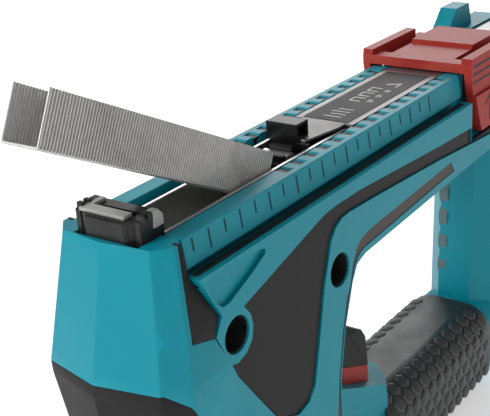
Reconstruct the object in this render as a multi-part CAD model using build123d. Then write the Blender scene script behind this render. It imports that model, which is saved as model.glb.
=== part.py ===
"""Cordless electric stapler in its loading position.

The tool stands upside down: the spine of its handle rests on Z = 0 and the open underside of its
magazine faces +Z. +X points to the rear (battery end), +Y to the tool's left-hand side.
Lengths are in millimetres. The origin is the centre of the flat the tool rests on.
"""
import os
from math import cos, radians, sin

from build123d import *

# ---------------------------------------------------------------- driving dimensions
FIT = 0.4                 # gap between a moving piece and what it slides in
SEAT = 0.1                # gap between fixed pieces that are dropped into each other
WALL = 2.4                # moulded wall of the housing

# staples: 10.6 mm crown, glued strip tipped out of the channel
CROWN = 10.6              # outside width of a staple
LEG = 12.3                # outside height of a staple
WIRE = 0.7                # thickness of the staple wire
STRIP_LENGTH = 81.0       # glued strip of staples
STRIP_PITCH = 27.16       # how far the strip is tipped out of the channel, degrees
STRIP_HEEL = (-60.4, 114.9)  # lower rear corner of the strip, as (x, z)

# magazine
LIP_Z = 124.0             # height of the magazine's open face above the resting flat
MAG_FRONT = -104.5        # front end of the magazine
MAG_SHOULDER = 31.5       # where the wide part of the magazine ends, in front of the latch
MAG_REAR = 64.0           # rear end of the magazine
MAG_HALF = 14.9           # half width over the lips
MAG_FLARE = 0.9           # how much each side face leans out towards its foot
MAG_FACE = 7.1            # height of the side faces
MAG_TAIL_HALF = 12.4      # half width under the latch
MAG_DEPTH = 20.0          # depth of the moulding
SLOT_HALF = 9.7           # half width between the lips
SLOT_DEPTH = 6.5          # depth of the side slots outside the rails
RAIL_DROP = 1.2           # rail tops below the lips
RAIL_HALF = 7.5           # half width over the steel channel
RAIL_SHEET = 1.0          # sheet thickness of the steel channel
TOOTH_PITCH = 6.1         # pitch of the ribs along the lips
TOOTH_COUNT = 15
TOOTH_FRONT = -61.0       # front end of the row of ribs
TOOTH_WIDTH = 3.3         # how far a pocket reaches into the lip
TOOTH_DROP = 4.2          # depth of a pocket at its deep end
SCREW_RELIEF = 1.2        # the pusher runs over the heads of the magazine screws

# cover and pusher
COVER_FRONT = -39.0
COVER_LENGTH = 100.0
COVER_HALF = 6.9
COVER_SHEET = 0.7
BRACKET_TOP = 128.2
PUSHER_FRONT = -51.5
PUSHER_LENGTH = 8.5
PUSHER_TOP = 121.8

# nose and blade
BLADE_X = -107.2          # mid plane of the driver blade
BLADE_SHEET = 1.0
NOSE_TOP = 129.8
NOSE_HALF = 9.0
NOSE_TRAVEL = 3.0
NOSE_LUG = 0.7            # how far the lug stands out on one side
NOSE_FRONT = -111.9
NOSE_REAR = -105.0
NOSE_BOTTOM = 114.0
CARRIAGE_TOP = 62.0
BLADE_TOP = 109.0
SPRING_FLOOR = 42.0
BUMPER_LOW = 83.5

# side frames, handle, post and foot
FRAME_HALF = 20.0         # half width over the side frames
FRAME_TOP = 116.0         # ledge beside the magazine
HANDLE_TOP = 30.5         # inner side of the handle
HANDLE_HALF = 15.0
GRIP_SKIN = 2.2           # thickness of the rubber sleeve
GRIP_FRONT = -14.0
GRIP_REAR = 58.0
POST_FRONT = 62.5
POST_REAR = 86.0
FOOT_REAR = 112.0
FOOT_HALF = 17.5
FOOT_BOTTOM = 66.0
POST_FACE_HALF = 6.0      # half width of the post's narrow front face
POST_HALF = 14.0
FOOT_FRONT = 75.5
PRONG_TOP = 131.5         # top of the two prongs on the foot
PLATE_FRONT = 77.0
PLATE_HALF = 6.9

# latch
LATCH_FRONT = 32.0
LATCH_LENGTH = 39.0
LATCH_HALF = 18.8
LATCH_TOP = 127.3         # upper side of the bar between the two flanges
FLANGE_TOP = 129.0
FLANGE_LENGTH = 30.0
FLANGE_SHEET = 3.4
LEG_SHEET = 2.5
LATCH_BAR = 5.0           # depth of the bar across the front
LATCH_WEB = 1.0           # thin floor between the plate and the flanges
LATCH_PLATE_HALF = 10.8
SHIELD_TOP = 116.8        # top of the thicker lower part of a leg
SHIELD_STEP = 0.8
LATCH_TRAVEL = 4.0
LUG_BOTTOM = 104.6

# trigger
TRIGGER_FRONT = -49.0
TRIGGER_REAR = -15.5
TRIGGER_HALF = 8.0
TRIGGER_TOP = 63.0
TRIGGER_TRAVEL = 6.0
TRIGGER_SPLIT = (59.4, 44.6)  # heights where the trigger meets its red band, front and rear
TRIGGER_FOOT = 29.0
SWITCH_TOP = 22.0

# battery pack
PACK_LENGTH = 22.0
PACK_HALF = 30.0
PACK_BOTTOM = 44.0
PACK_TOP = 117.0
RAIL_OUT = 5.0            # how far the pack's guide rail stands out
RAIL_WIDE = 14.0
BUTTON_HALF = 8.0

# drive inside the head
MOTOR_FACE = 4.0
MOTOR_X, MOTOR_Z = -86.0, 50.0
MOTOR_RADIUS = 12.4
GEAR_X, GEAR_Z = -91.0, 74.0
GEAR_RADIUS = 17.0
GEAR_TEETH = 34
PINION_RADIUS = 7.2
PINION_TEETH = 14
GEAR_SHEET = 4.0
GEAR_Y = 8.0
AXLE_RADIUS = 2.0
AXLE_FIT = 0.05


# ---------------------------------------------------------------- helpers
def box(x0, x1, y0, y1, z0, z1):
    """Axis-aligned block between two corners."""
    centre = Pos((x0 + x1) / 2, (y0 + y1) / 2, (z0 + z1) / 2)
    return centre * Box(x1 - x0, y1 - y0, z1 - z0)


def side_prism(points, y0, y1):
    """A side-view outline given as (x, z) points, extruded from y0 to y1."""
    outline = [Vector(x, y0, z) for x, z in points]
    face = make_face(Polyline(*outline, close=True))
    return extrude(face, amount=y1 - y0, dir=(0, 1, 0))


def end_prism(points, x0, x1):
    """A front-view outline given as (y, z) points, extruded from x0 to x1."""
    outline = [Vector(x0, y, z) for y, z in points]
    face = make_face(Polyline(*outline, close=True))
    return extrude(face, amount=x1 - x0, dir=(1, 0, 0))


def plan_prism(points, z0, z1):
    """A plan outline given as (x, y) points, extruded from z0 to z1."""
    outline = [Vector(x, y, z0) for x, y in points]
    face = make_face(Polyline(*outline, close=True))
    return extrude(face, amount=z1 - z0, dir=(0, 0, 1))


def plan_face(points, z):
    """A flat plan outline at height z, for lofting."""
    return make_face(Polyline(*[Vector(x, y, z) for x, y in points], close=True))


def rod_x(x0, x1, y, z, radius):
    """Round bar along X."""
    return Pos((x0 + x1) / 2, y, z) * Rot(0, 90, 0) * Cylinder(radius, x1 - x0)


def rod_y(x, y0, y1, z, radius):
    """Round bar along Y."""
    return Pos(x, (y0 + y1) / 2, z) * Rot(90, 0, 0) * Cylinder(radius, y1 - y0)


def rod_z(x, y, z0, z1, radius):
    """Round bar along Z."""
    return Pos(x, y, (z0 + z1) / 2) * Cylinder(radius, z1 - z0)


def both_sides(points):
    """Plan points of one side, mirrored to close a symmetric outline."""
    return points + [(x, -y) for x, y in reversed(points) if y != 0]


def half(shape, side):
    """The part of a shape on one side (+1 left, -1 right) of the centre plane."""
    size = 600
    block = Pos(0, side * size / 2, 0) * Box(size, size, size)
    return shape & block


# ---------------------------------------------------------------- head
HEAD_FLOOR = 0.6          # lowest plane of the cap
CAP_LINE = 92.5           # where the cap meets the front cover at the front
HEAD_REAR = -46.0

# side-view lines that divide the head into its front cover, its cap and the side frames
DIAGONAL = [(-102.2, 100.0), (-96.3, 87.7), (-87.5, 76.1), (-79.0, 65.0), (-72.0, 52.0),
            (-66.0, 38.0)]
CHEEK_INNER = 14.6
CHEEK_FRONT = [(-107.4, LIP_Z), (-109.4, 101.9)]
CHEEK_REAR = [(-99.6, 104.4), (-102.3, 108.9), (-106.1, 115.6), (-106.4, LIP_Z)]
CAP_EDGE = [(-130.0, CAP_LINE), (-117.5, CAP_LINE), (-112.5, 88.0), (-104.0, 73.0),
            (-93.0, 57.0), (-81.0, 44.5)]


def head_solid(inset=0.0):
    """Faceted head: a shallow V front that narrows towards the handle side."""
    def ring(z, ridge, corner, shoulder, rear):
        side = [(ridge + inset, 0), (corner[0] + inset, corner[1] - inset * 0.8),
                (shoulder[0] + inset, shoulder[1] - inset), (HEAD_REAR, rear - inset)]
        return plan_face(both_sides(side), z)

    rings = [
        ring(HEAD_FLOOR + inset, -72.0, (-69.0, 5.5), (-63.0, 10.5), 13.0),
        ring(34.0, -109.0, (-105.0, 8.5), (-97.0, 15.0), 18.5),
        ring(60.0, -119.5, (-115.5, 12.0), (-108.5, 18.4), 21.0),
        ring(CAP_LINE - 3.0, -121.7, (-118.2, 16.2), (-112.0, 20.8), 21.6),
        ring(CAP_LINE, -121.7, (-118.2, 16.4), (-112.0, 20.8), 21.6),
        ring(LIP_Z - inset, -114.0, (-112.4, 12.6), (-108.6, 16.2), 19.4),
    ]
    return loft(rings, ruled=True)


def front_cover_zone():
    """Side-view area of the front cover."""
    top = [(-130.0, LIP_Z), CHEEK_FRONT[0], CHEEK_FRONT[1]]
    return side_prism(top + DIAGONAL + list(reversed(CAP_EDGE)), -40, 40)


def cap_zone():
    """Side-view area of the dark cap over the handle side of the head."""
    edge = [(x, z - SEAT) for x, z in CAP_EDGE + [DIAGONAL[-1]]]
    return side_prism(edge + [(DIAGONAL[-1][0], -5.0), (-130.0, -5.0)], -40, 40)


def front_cover():
    shell = (head_solid() - head_solid(WALL)) & front_cover_zone()
    deck = head_solid() & box(-112.0, MAG_FRONT - 0.2, -CHEEK_INNER + SEAT, CHEEK_INNER - SEAT,
                              LIP_Z - WALL, LIP_Z)
    window = box(NOSE_FRONT - FIT, NOSE_REAR + FIT, -NOSE_HALF - FIT, NOSE_HALF + FIT, 100.0,
                 LIP_Z + 6)
    return shell + deck - window


def cheek(side):
    """Dark three-cornered piece between the front cover and a side frame."""
    front = [(x + SEAT, z) for x, z in CHEEK_FRONT]
    low = [(DIAGONAL[0][0], DIAGONAL[0][1] + SEAT)]
    outline = front + low + CHEEK_REAR
    shell = (head_solid() - head_solid(WALL)) & side_prism(outline, -40, 40)
    return half(shell - box(-115.0, -95.0, -CHEEK_INNER, CHEEK_INNER, 90, LIP_Z + 5), side)


def top_cap():
    return (head_solid() - head_solid(WALL)) & cap_zone()


# ---------------------------------------------------------------- side frames and handle
FRAME_OUTLINE = [(-105.8, FRAME_TOP), (78.0, FRAME_TOP), (78.0, 97.6), (66.0, 97.6),
                 (30.0, 96.2), (-36.0, 93.4), (-40.5, 92.0), (-43.0, 88.0), (-47.5, 76.0),
                 (-50.5, 62.0), (-50.5, 30.0), (-65.6, 30.0), (-65.6, 38.0), (-71.6, 52.0),
                 (-78.6, 65.0), (-87.1, 76.1), (-95.9, 87.7), (-101.8, 100.0), (-99.2, 104.4),
                 (-101.9, 108.9)]
FRAME_HOLLOW = [(-115.0, 102.0), (-60.0, 102.0), (-57.0, 96.0), (-56.0, 82.0), (-60.0, 62.0),
                (-64.0, 50.0), (-115.0, 50.0)]
INFILL = [(-91.0, 103.0), (-78.7, 106.1), (-65.2, 109.6), (-55.5, 112.0), (-49.7, 112.4),
          (-38.0, 112.3), (-16.2, 110.9), (8.4, 109.3), (30.4, 108.2), (30.4, 103.6),
          (64.0, 103.6), (64.0, 100.2), (31.0, 102.9), (8.5, 104.9), (-27.6, 107.3),
          (-43.5, 108.2), (-47.3, 107.9), (-50.6, 106.4), (-52.9, 103.6), (-56.9, 92.3),
          (-60.3, 78.2), (-63.2, 66.8), (-66.0, 63.8), (-71.0, 62.6), (-78.6, 65.0),
          (-87.1, 76.1), (-95.9, 87.7), (-97.2, 90.6), (-94.6, 90.0), (-91.2, 91.0),
          (-88.8, 93.4), (-88.0, 96.7), (-88.6, 99.8)]
POCKET = [(-103.2, 113.4), (-101.6, 114.9), (-98.6, 115.3), (-90.8, 114.8), (-83.2, 114.0),
          (-81.2, 113.3), (-81.6, 112.2), (-87.2, 109.6), (-96.2, 106.2), (-98.6, 106.2),
          (-100.2, 107.6), (-102.4, 111.4)]
TRIM = [(-50.9, 33.0), (-52.8, 33.0), (-52.8, 52.0), (-51.6, 62.4), (-49.0, 75.6),
        (-46.4, 84.4), (-44.2, 87.6), (-42.9, 92.6), (-40.6, 96.6), (-38.0, 98.4),
        (-34.0, 99.3), (16.0, 101.6), (18.5, 98.2), (-36.5, 95.2), (-39.8, 94.0),
        (-41.8, 91.6), (-44.6, 84.8), (-47.9, 76.0), (-50.9, 62.2)]
INFILL_DEPTH = 2.0
SEAL_INNER = 16.3
SEAL_OUTER = 18.3
SEAL_DEPTH = 2.8
TRIM_DEPTH = 1.0
POCKET_DEPTH = 1.1
SCREW_SPOTS = [(-94.3, 97.2), (-49.2, 94.0), (-58.0, 42.0), (-58.0, 12.0), (69.0, 15.0),
               (70.0, 93.0)]
BOSS_RADIUS = 5.8
HEAD_RADIUS = 3.4
WELL_RADIUS = 4.7         # hole above a screw head
SHANK_RADIUS = 1.6
SCREW_SEAT = 11.0         # distance of the screw heads' seat from the centre plane
SCREW_REACH = 7.0         # how far a screw reaches past the centre plane


def both_faces(points, outer, inner):
    """The same side-view outline on both sides, between two distances from the centre."""
    return side_prism(points, inner, outer) + side_prism(points, -outer, -inner)


def handle_bar(half_width, z0, z1, x0, x1, radius):
    """Rounded bar along X."""
    bar = box(x0, x1, -half_width, half_width, z0, z1)
    return fillet(bar.edges().filter_by(Axis.X), radius)


COLLAR_SIDE = [(-51.0, 26.0), (-51.0, 56.4), (-45.0, 53.2), (-38.8, 50.0), (-28.4, 44.8),
               (-17.3, 40.0), (-13.5, 37.4), (-12.0, 33.8), (-12.0, 26.0)]
COLLAR_HALF = 12.5
COLLAR_END = [(1.2, 0.0), (0.1, 2.3), (-4.1, 7.3), (-9.4, 10.8), (-16.0, COLLAR_HALF)]
COLLAR_END_TOP = 34.6


def trigger_collar():
    """Raised collar of the handle that the trigger comes out of, with a rounded end."""
    bar = side_prism(COLLAR_SIDE, -COLLAR_HALF, COLLAR_HALF)
    return bar + plan_prism(both_sides(COLLAR_END), 26.0, COLLAR_END_TOP)


def grip_zone():
    """Everything between the core of the handle and the outside of the rubber sleeve."""
    outer = handle_bar(HANDLE_HALF + 1.0, 0.0, HANDLE_TOP + 1.0, GRIP_FRONT, GRIP_REAR, 10.0)
    core = handle_bar(HANDLE_HALF - GRIP_SKIN, GRIP_SKIN, HANDLE_TOP - GRIP_SKIN,
                      GRIP_FRONT - 1, GRIP_REAR + 1, 7.0)
    return outer - core


def post_solid():
    """Rear post with a narrow front face between leaning facets."""
    def ring(z, lean):
        front = POST_FRONT + lean
        side = [(front, POST_FACE_HALF), (front + 11.0, POST_HALF), (POST_REAR, POST_HALF)]
        return plan_face(both_sides(side), z)

    return loft([ring(6.0, -3.5), ring(36.0, -2.0), ring(105.0, 3.0)], ruled=True)


def foot_solid():
    """Wide rear foot that carries the battery."""
    h, low, top = FOOT_HALF, FOOT_BOTTOM, LIP_Z
    outline = [(-h, low + 6), (-h + 6, low), (h - 6, low), (h, low + 6), (h, top - 1),
               (h - 1, top), (-h + 1, top), (-h, top - 1)]
    return end_prism(outline, FOOT_FRONT, FOOT_REAR)


def foot_prongs():
    """Two upright prongs on the foot that the upright tool stands on at the rear."""
    tab = [(FOOT_FRONT + 0.5, LIP_Z - 2), (FOOT_FRONT + 0.5, LIP_Z), (FOOT_FRONT + 8, PRONG_TOP),
           (FOOT_FRONT + 18, PRONG_TOP), (FOOT_FRONT + 21, LIP_Z - 2)]
    return both_faces(tab, FOOT_HALF - 0.9, FOOT_HALF - 7.0)


def seal_room(side, gap):
    """Rebate beside the magazine, or the strip that lies in it."""
    inner, outer = SEAL_INNER - gap, SEAL_OUTER + gap
    return box(MAG_FRONT, MAG_SHOULDER - 2.5, min(side * inner, side * outer),
               max(side * inner, side * outer), FRAME_TOP - SEAL_DEPTH - gap, FRAME_TOP + gap)


def side_seal(side):
    """Black strip that lies on the ledge beside the magazine."""
    return seal_room(side, 0.0)


def housing_shell():
    """Both halves of the housing as one closed shell, before it is parted."""
    shape = side_prism(FRAME_OUTLINE, -FRAME_HALF, FRAME_HALF)
    shape = shape - side_prism(FRAME_HOLLOW, -FRAME_HALF + 4.4, FRAME_HALF - 4.4)
    handle = handle_bar(HANDLE_HALF, 0.0, HANDLE_TOP, -65.6, POST_REAR, 9.0)
    shape = shape + handle + trigger_collar() + post_solid() + foot_solid() + foot_prongs()
    sleeve_room = grip_zone() & box(GRIP_FRONT, GRIP_REAR, -40, 40, -5, HANDLE_TOP + 5)
    shape = shape - sleeve_room
    # hollows
    shape = shape - box(-62.0, POST_REAR - 4, -9.5, 9.5, 5.0, HANDLE_TOP - 5.0)
    shape = shape - box(POST_FRONT + 9, POST_REAR - 4, -8.5, 8.5, 20.0, 100.0)
    shape = shape - box(FOOT_FRONT + 3, FOOT_REAR - 3, -13.0, 13.0, FOOT_BOTTOM + 5, LIP_Z - 8)
    shape = shape - box(-46.0, FOOT_FRONT + 4, -9.0, 9.0, 98.0, 101.5)
    for side in (-1, 1):
        shape = shape - seal_room(side, SEAT)
    # trough for the magazine
    shape = shape - box(-120.0, MAG_REAR + SEAT, -MAG_HALF - 1.2, MAG_HALF + 1.2,
                        LIP_Z - MAG_DEPTH - SEAT, LIP_Z + 2)
    # room beside the magazine's tail for the latch and its legs
    shape = shape - box(MAG_SHOULDER - 1.0, LATCH_FRONT + LATCH_LENGTH + LATCH_TRAVEL + FIT, -40,
                        40, LUG_BOTTOM - 1.0, LIP_Z + 20)
    # trigger slot
    shape = shape - box(TRIGGER_FRONT - FIT, TRIGGER_REAR + FIT, -TRIGGER_HALF - FIT,
                        TRIGGER_HALF + FIT, TRIGGER_FOOT - TRIGGER_TRAVEL - 6.0, 80.0)
    # recesses on the side faces
    shape = shape - both_faces(INFILL, FRAME_HALF + 1, FRAME_HALF - INFILL_DEPTH)
    shape = shape - both_faces(POCKET, FRAME_HALF + 1, FRAME_HALF - POCKET_DEPTH)
    shape = shape - both_faces(TRIM, FRAME_HALF + 1, FRAME_HALF - TRIM_DEPTH)
    # rating plate recess
    shape = shape - box(PLATE_FRONT, FOOT_REAR + 1, -PLATE_HALF, PLATE_HALF, LIP_Z - 1.2,
                        LIP_Z + 1)
    for x, z in SCREW_SPOTS:
        shape = shape + rod_y(x, -SCREW_SEAT - 1, SCREW_REACH + 3, z, BOSS_RADIUS)
        shape = shape - rod_y(x, -60, -SCREW_SEAT, z, WELL_RADIUS)
        shape = shape - rod_y(x, -SCREW_SEAT - 1, SCREW_REACH + 0.5, z, SHANK_RADIUS + SEAT)
    return shape


def housing_half(side):
    return half(HOUSING, side)


def infill_panel(side):
    panel = side_prism(INFILL, FRAME_HALF - INFILL_DEPTH, FRAME_HALF - 0.5)
    return panel if side > 0 else mirror(panel, about=Plane.XZ)


def opening_trim(side):
    strip = side_prism(TRIM, FRAME_HALF - TRIM_DEPTH, FRAME_HALF - 0.2)
    return strip if side > 0 else mirror(strip, about=Plane.XZ)


def grip_sleeve():
    return grip_zone() & box(GRIP_FRONT, GRIP_REAR, -40, 40, -5, HANDLE_TOP + 5)


def housing_screws():
    """Pan-head screws that clamp the two halves."""
    group = []
    for x, z in SCREW_SPOTS:
        head = rod_y(x, -SCREW_SEAT - 2.4, -SCREW_SEAT, z, HEAD_RADIUS)
        socket = rod_y(x, -SCREW_SEAT - 2.5, -SCREW_SEAT - 1.0, z, 1.4)
        group.append(head + rod_y(x, -SCREW_SEAT, SCREW_REACH, z, SHANK_RADIUS) - socket)
    return group


def rating_plate():
    return box(PLATE_FRONT + SEAT, FOOT_REAR - 0.5, -PLATE_HALF + SEAT, PLATE_HALF - SEAT,
               LIP_Z - 1.2, LIP_Z - 0.6)


# ---------------------------------------------------------------- magazine
def magazine_housing():
    """Moulded channel with ribbed lips and a narrow tail under the latch."""
    foot_z = LIP_Z - MAG_FACE
    wide = MAG_HALF + MAG_FLARE
    section = [(-MAG_HALF, LIP_Z), (-wide, foot_z), (-13.2, foot_z), (-13.2, LIP_Z - MAG_DEPTH),
               (13.2, LIP_Z - MAG_DEPTH), (13.2, foot_z), (wide, foot_z), (MAG_HALF, LIP_Z)]
    shape = end_prism(section, MAG_FRONT, MAG_SHOULDER)
    shape = shape + box(MAG_SHOULDER - 1, MAG_REAR, -MAG_TAIL_HALF, MAG_TAIL_HALF,
                        LIP_Z - MAG_DEPTH, LIP_Z - 0.3)
    shape = shape - box(MAG_FRONT - 1, MAG_REAR + 1, -SLOT_HALF, SLOT_HALF, LIP_Z - SLOT_DEPTH,
                        LIP_Z + 1)
    shape = shape - box(MAG_FRONT - 1, MAG_REAR + 1, -RAIL_HALF - SEAT, RAIL_HALF + SEAT,
                        RAIL_FLOOR - SEAT, LIP_Z + 1)
    return shape - rib_pockets()


def rib_pockets():
    """Wedge pockets between the ribs on both lips."""
    pockets = None
    for index in range(TOOTH_COUNT):
        x = TOOTH_FRONT + index * TOOTH_PITCH
        wedge = [(x, LIP_Z + 1), (x, LIP_Z - TOOTH_DROP), (x + TOOTH_PITCH * 0.45, LIP_Z + 0.01),
                 (x + TOOTH_PITCH * 0.45, LIP_Z + 1)]
        for side in (-1, 1):
            inner, outer = sorted((side * (SLOT_HALF - 0.2), side * (SLOT_HALF + TOOTH_WIDTH)))
            piece = side_prism(wedge, inner, outer)
            pockets = piece if pockets is None else pockets + piece
    return pockets


RAIL_FLOOR = LIP_Z - RAIL_DROP - LEG - 1.8


def magazine_rails():
    """Folded steel channel that the staples run in."""
    outer = box(MAG_FRONT, MAG_REAR, -RAIL_HALF, RAIL_HALF, RAIL_FLOOR, LIP_Z - RAIL_DROP)
    inner = box(MAG_FRONT - 1, MAG_REAR + 1, -RAIL_HALF + RAIL_SHEET, RAIL_HALF - RAIL_SHEET,
                RAIL_FLOOR + RAIL_SHEET, LIP_Z)
    return outer - inner


def magazine_screws():
    """Two small screws through the floor of the channel into the frames."""
    group = []
    for x in (MAG_FRONT + 8, MAG_REAR - 8):
        z = RAIL_FLOOR + RAIL_SHEET
        group.append(rod_z(x, 0, z, z + 0.8, 2.4))
    return group


def cover_plate():
    """Sliding steel cover with a half-round notch at one front corner."""
    low = LIP_Z - 0.8
    plate = box(COVER_FRONT, COVER_FRONT + COVER_LENGTH, -COVER_HALF, COVER_HALF, low,
                low + COVER_SHEET)
    corner = [(COVER_FRONT - 1, -COVER_HALF - 1), (COVER_FRONT - 1, -4.3), (COVER_FRONT, -4.3),
              (COVER_FRONT + 13, -COVER_HALF), (COVER_FRONT + 13, -COVER_HALF - 1)]
    plate = plate - plan_prism(corner, low - 1, low + 2)
    wing = box(COVER_FRONT + 16, COVER_FRONT + COVER_LENGTH, -SLOT_HALF + FIT, SLOT_HALF - FIT,
               low, low + COVER_SHEET)
    return plate + wing


def cover_label():
    low = LIP_Z - 0.8 + COVER_SHEET
    return box(COVER_FRONT + 17, LATCH_FRONT - 5, -7.2, 7.2, low, low + 0.12)


def cover_bracket():
    """Folded catch at the front end of the cover that drives the pusher back."""
    low = LIP_Z - 0.8
    x = COVER_FRONT
    wall = box(x - 1.2, x, -2.5, 7.2, low - 0.2, BRACKET_TOP)
    shelf = box(x - 1.2, x + 4.6, -2.5, 7.2, BRACKET_TOP - 1.0, BRACKET_TOP)
    lip = box(x + 3.6, x + 4.6, -2.5, 7.2, low + COVER_SHEET, BRACKET_TOP)
    tongue = box(x - 1.2, x, -5.8, 5.8, low - 6.0, low)
    return wall + shelf + lip + tongue


def pusher():
    """Follower that presses the strip towards the nose."""
    half_width = RAIL_HALF - RAIL_SHEET - FIT
    body = box(PUSHER_FRONT, PUSHER_FRONT + PUSHER_LENGTH, -half_width, half_width,
               RAIL_FLOOR + RAIL_SHEET + SCREW_RELIEF, PUSHER_TOP)
    fin = box(PUSHER_FRONT, PUSHER_FRONT + 1.6, -half_width + 0.8, half_width - 0.8,
              PUSHER_TOP - 0.2, LIP_Z - 0.4)
    tail = box(PUSHER_FRONT + PUSHER_LENGTH - 1.6, PUSHER_FRONT + PUSHER_LENGTH, -3.4, 3.4,
               PUSHER_TOP - 0.2, LIP_Z - 0.4)
    return fillet(body.edges().filter_by(Axis.Y), 0.8) + fin + tail


def pusher_clip():
    """Bright sheet clip over the follower."""
    x = PUSHER_FRONT + 1.8
    return box(x, x + 4.8, -4.4, 4.4, PUSHER_TOP, PUSHER_TOP + 0.6)


def pusher_spring():
    """Coiled spring between the follower and the catch, drawn as its outline."""
    x0, x1 = PUSHER_FRONT + PUSHER_LENGTH, COVER_FRONT - 1.2
    z = LIP_Z - 9.0
    return rod_x(x0, x1, 0, z, 2.4) - rod_x(x0 - 1, x1 + 1, 0, z, 1.5)


def staple_strip():
    """Glued strip of staples, crowns down, tipped out of the channel by STRIP_PITCH."""
    block = box(-STRIP_LENGTH, 0, -CROWN / 2, CROWN / 2, 0, LEG)
    channel = box(-STRIP_LENGTH - 1, 1, -CROWN / 2 + WIRE, CROWN / 2 - WIRE, WIRE, LEG + 1)
    strip = block - channel
    return Pos(STRIP_HEEL[0], 0, STRIP_HEEL[1]) * Rot(0, STRIP_PITCH, 0) * strip


# ---------------------------------------------------------------- nose
def contact_nose():
    """Sliding nose that meets the work, with a slot the staples leave through."""
    plan = [(NOSE_REAR, -NOSE_HALF), (NOSE_FRONT + 2.2, -NOSE_HALF), (NOSE_FRONT, -NOSE_HALF + 3.6),
            (NOSE_FRONT, NOSE_HALF - 3.8), (NOSE_FRONT + 1.8, NOSE_HALF), (NOSE_REAR, NOSE_HALF)]
    shape = plan_prism(plan, NOSE_BOTTOM, NOSE_TOP - 0.8)
    over = box(NOSE_REAR - 1, NOSE_REAR + 2.0, -NOSE_HALF, NOSE_HALF,
               LIP_Z + NOSE_TRAVEL + FIT, NOSE_TOP - 0.8)
    lug = box(NOSE_REAR - 5.0, NOSE_REAR + 1.0, NOSE_HALF - 1, NOSE_HALF + NOSE_LUG,
              LIP_Z + NOSE_TRAVEL + FIT, NOSE_TOP)
    slot = box(BLADE_X - BLADE_SHEET, BLADE_X + BLADE_SHEET, -CROWN / 2 - FIT, CROWN / 2 + FIT,
               NOSE_BOTTOM - 1, NOSE_TOP + 1)
    return shape + over + lug - slot


def nose_pad():
    """Grey wear plate on the end of the nose."""
    pad = box(NOSE_FRONT + 0.8, BLADE_X - BLADE_SHEET, -NOSE_HALF + 4.0, NOSE_HALF - 1.0,
              NOSE_TOP - 0.8, NOSE_TOP)
    return pad + box(NOSE_FRONT + 0.8, NOSE_REAR + 1.0, NOSE_HALF - 2.6, NOSE_HALF - 1.1,
                     NOSE_TOP - 0.8, NOSE_TOP)


def nose_guide():
    """Steel plate in front of the blade."""
    return box(BLADE_X - BLADE_SHEET - 1.6, BLADE_X - BLADE_SHEET, -8.0, 8.0, BUMPER_LOW + 5.0,
               NOSE_BOTTOM - NOSE_TRAVEL - FIT)


def nose_springs():
    """Two short springs under the nose, drawn as their outline."""
    low = NOSE_BOTTOM - 9.0
    return [rod_z(BLADE_X + 0.2, side * 7.6, low, NOSE_BOTTOM, 1.1)
            - rod_z(BLADE_X + 0.2, side * 7.6, low - 1, NOSE_BOTTOM + 1, 0.7)
            for side in (-1, 1)]


# ---------------------------------------------------------------- drive inside the head
def driver_blade():
    return box(BLADE_X - BLADE_SHEET / 2, BLADE_X + BLADE_SHEET / 2, -CROWN / 2 + 0.1,
               CROWN / 2 - 0.1, CARRIAGE_TOP - 4, BLADE_TOP)


def driver_carriage():
    """Slider that carries the blade and has a ledge for the cam pin."""
    body = box(BLADE_X - 3.0, BLADE_X + 3.2, -5.0, 5.0, CARRIAGE_TOP - 12.0, CARRIAGE_TOP)
    slot = box(BLADE_X - BLADE_SHEET / 2, BLADE_X + BLADE_SHEET / 2, -CROWN / 2 + 0.1,
               CROWN / 2 - 0.1, CARRIAGE_TOP - 4, CARRIAGE_TOP + 1)
    return body - slot


def main_spring():
    """Compression spring under the carriage, drawn as its outline."""
    z0, z1 = SPRING_FLOOR, CARRIAGE_TOP - 12.0
    return rod_z(BLADE_X + 1.6, 0, z0, z1, 3.4) - rod_z(BLADE_X + 1.6, 0, z0 - 1, z1 + 1, 2.5)


def bumper():
    """Rubber stop above the carriage's path, split round the blade."""
    block = box(BLADE_X - 4.0, BLADE_X + 4.2, -7.0, 7.0, BUMPER_LOW, BUMPER_LOW + 5.0)
    return block - box(BLADE_X - BLADE_SHEET - 0.2, BLADE_X + BLADE_SHEET + 0.2, -6.0, 6.0,
                       BUMPER_LOW - 1, BUMPER_LOW + 6.0)


def motor_can():
    can = rod_y(MOTOR_X, -13.0, MOTOR_FACE, MOTOR_Z, MOTOR_RADIUS)
    return can - rod_y(MOTOR_X, -11.0, MOTOR_FACE + 1, MOTOR_Z, AXLE_RADIUS + AXLE_FIT)


def motor_pinion():
    shaft = rod_y(MOTOR_X, -10.8, GEAR_Y + GEAR_SHEET, MOTOR_Z, AXLE_RADIUS)
    return shaft + toothed_wheel(MOTOR_X, MOTOR_Z, PINION_RADIUS, PINION_TEETH,
                                 MOTOR_FACE + 1.0, GEAR_Y + GEAR_SHEET)


def toothed_wheel(x, z, radius, teeth, y0, y1):
    """Spur wheel with straight-sided teeth."""
    wheel = rod_y(x, y0, y1, z, radius - 1.0)
    for index in range(teeth):
        turn = Pos(x, (y0 + y1) / 2, z) * Rot(0, 360.0 * index / teeth, 0)
        wheel = wheel + turn * Pos(radius - 1.1, 0, 0) * Box(2.0, y1 - y0, 1.2)
    return wheel


def drive_gear():
    wheel = toothed_wheel(GEAR_X, GEAR_Z, GEAR_RADIUS, GEAR_TEETH, GEAR_Y, GEAR_Y + GEAR_SHEET)
    bore = rod_y(GEAR_X, GEAR_Y - 1, GEAR_Y + GEAR_SHEET + 1, GEAR_Z, AXLE_RADIUS + AXLE_FIT)
    wheel = wheel - bore
    return wheel + rod_y(GEAR_X + 9.5, 2.0, GEAR_Y + 0.1, GEAR_Z, 1.8)


def gear_axle():
    return rod_y(GEAR_X, -4.0, FRAME_HALF - 4.4, GEAR_Z, AXLE_RADIUS)


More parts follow.
